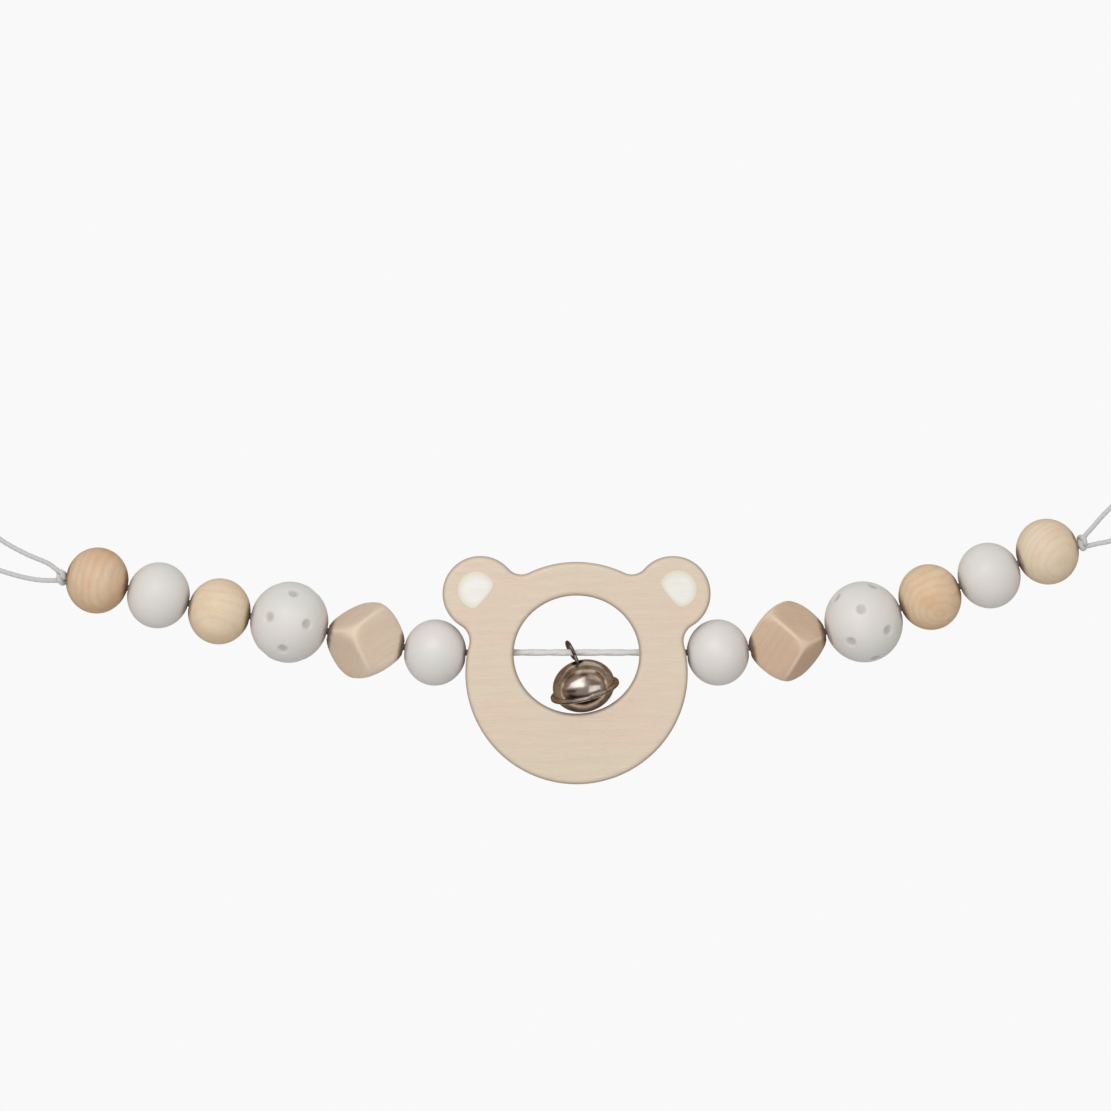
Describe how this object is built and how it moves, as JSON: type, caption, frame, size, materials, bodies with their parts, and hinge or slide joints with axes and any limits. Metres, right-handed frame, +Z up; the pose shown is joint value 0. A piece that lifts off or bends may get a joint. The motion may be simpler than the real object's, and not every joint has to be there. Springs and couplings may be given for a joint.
{
  "type": "pram chain toy",
  "caption": "Pram chain: round, dimpled and cube wooden beads on a cord either side of a flat bear-head ring with a jingle bell in its hole, and a cord loop at each end.",
  "frame": {"origin": "midway between the two points that the end loops hang from, with the chain modelled as it hangs", "axes": "+X along the chain to the right of someone who faces its front, +Y from the front to the back, +Z up"},
  "size_m": [0.4115, 0.0258, 0.1117],
  "materials": {
    "pale_wood": "sanded birch, lightly oiled",
    "natural_wood": "turned beech, lightly oiled",
    "white_painted_wood": "satin white paint on wood",
    "ear_paint": "satin white paint film",
    "cotton_cord": "twisted cotton, off-white",
    "nickel_plate": "polished nickel plate on pressed steel",
    "steel": "bare steel"
  },
  "bodies": {
    "end_loops": {"loop_left": "cotton_cord", "loop_right": "cotton_cord", "knot_left": "cotton_cord", "knot_right": "cotton_cord"},
    "cord": {"string": "cotton_cord"},
    "left_inner_white": {"left_inner_white_bead": "white_painted_wood"},
    "left_cube": {"left_cube_bead": "natural_wood"},
    "left_dimpled": {"left_dimpled_bead": "white_painted_wood"},
    "left_inner_wood": {"left_inner_wood_bead": "natural_wood"},
    "left_outer_white": {"left_outer_white_bead": "white_painted_wood"},
    "left_outer_wood": {"left_outer_wood_bead": "natural_wood"},
    "right_inner_white": {"right_inner_white_bead": "white_painted_wood"},
    "right_cube": {"right_cube_bead": "natural_wood"},
    "right_dimpled": {"right_dimpled_bead": "white_painted_wood"},
    "right_inner_wood": {"right_inner_wood_bead": "natural_wood"},
    "right_outer_white": {"right_outer_white_bead": "white_painted_wood"},
    "right_outer_wood": {"right_outer_wood_bead": "natural_wood"},
    "bear": {"bear_ring": "pale_wood", "ear_patch_left": "ear_paint", "ear_patch_right": "ear_paint"},
    "eyelet": {"bell_eyelet": "nickel_plate"},
    "bell": {"bell_upper_shell": "nickel_plate", "bell_lower_shell": "nickel_plate"},
    "pellet": {"bell_pellet": "steel"}
  },
  "joints": [
    {"name": "chain_swing", "type": "hinge", "parent": "end_loops", "child": "cord", "pos_m": [-0.16027, 0, -0.03136], "axis": [0.9994, 0, 0.0337], "range_deg": [-90, 90]},
    {"name": "left_inner_white_spin", "type": "hinge", "parent": "cord", "child": "left_inner_white", "pos_m": [-0.0406, 0, -0.05542], "axis": [-0.9962, 0, 0.0872], "continuous": true},
    {"name": "left_cube_spin", "type": "hinge", "parent": "cord", "child": "left_cube", "pos_m": [-0.06284, 0, -0.0515], "axis": [-0.9794, 0, 0.2019], "continuous": true},
    {"name": "left_dimpled_spin", "type": "hinge", "parent": "cord", "child": "left_dimpled", "pos_m": [-0.08726, 0, -0.04572], "axis": [-0.9815, 0, 0.1917], "continuous": true},
    {"name": "left_inner_wood_spin", "type": "hinge", "parent": "cord", "child": "left_inner_wood", "pos_m": [-0.10965, 0, -0.04226], "axis": [-0.9789, 0, 0.2045], "continuous": true},
    {"name": "left_outer_white_spin", "type": "hinge", "parent": "cord", "child": "left_outer_white", "pos_m": [-0.12913, 0, -0.03711], "axis": [-0.9694, 0, 0.2453], "continuous": true},
    {"name": "left_outer_wood_spin", "type": "hinge", "parent": "cord", "child": "left_outer_wood", "pos_m": [-0.14871, 0, -0.03237], "axis": [-0.9869, 0, 0.1616], "continuous": true},
    {"name": "right_inner_white_spin", "type": "hinge", "parent": "cord", "child": "right_inner_white", "pos_m": [0.0499, 0, -0.05542], "axis": [0.9967, 0, 0.0811], "continuous": true},
    {"name": "right_cube_spin", "type": "hinge", "parent": "cord", "child": "right_cube", "pos_m": [0.0722, 0, -0.05177], "axis": [0.979, 0, 0.2036], "continuous": true},
    {"name": "right_dimpled_spin", "type": "hinge", "parent": "cord", "child": "right_dimpled", "pos_m": [0.09652, 0, -0.04561], "axis": [0.9545, 0, 0.2982], "continuous": true},
    {"name": "right_inner_wood_spin", "type": "hinge", "parent": "cord", "child": "right_inner_wood", "pos_m": [0.11773, 0, -0.03768], "axis": [0.9382, 0, 0.3461], "continuous": true},
    {"name": "right_outer_white_spin", "type": "hinge", "parent": "cord", "child": "right_outer_white", "pos_m": [0.13667, 0, -0.03079], "axis": [0.9326, 0, 0.3608], "continuous": true},
    {"name": "right_outer_wood_spin", "type": "hinge", "parent": "cord", "child": "right_outer_wood", "pos_m": [0.15531, 0, -0.02314], "axis": [0.9502, 0, 0.3115], "continuous": true},
    {"name": "bear_turn", "type": "hinge", "parent": "cord", "child": "bear", "pos_m": [0.00465, 0, -0.05542], "axis": [1, 0, 0], "range_deg": [-145, 125]},
    {"name": "eyelet_swing", "type": "hinge", "parent": "cord", "child": "eyelet", "pos_m": [0.00465, 0, -0.05542], "axis": [1, 0, 0], "range_deg": [-100, 100]},
    {"name": "bell_swivel", "type": "hinge", "parent": "eyelet", "child": "bell", "pos_m": [0.00695, 0, -0.06608], "axis": [-0.2504, -0.2669, 0.9306], "continuous": true},
    {"name": "pellet_roll", "type": "hinge", "parent": "bell", "child": "pellet", "pos_m": [0.00695, 0, -0.06608], "axis": [0, 1, 0], "range_deg": [-50, 50]}
  ]
}
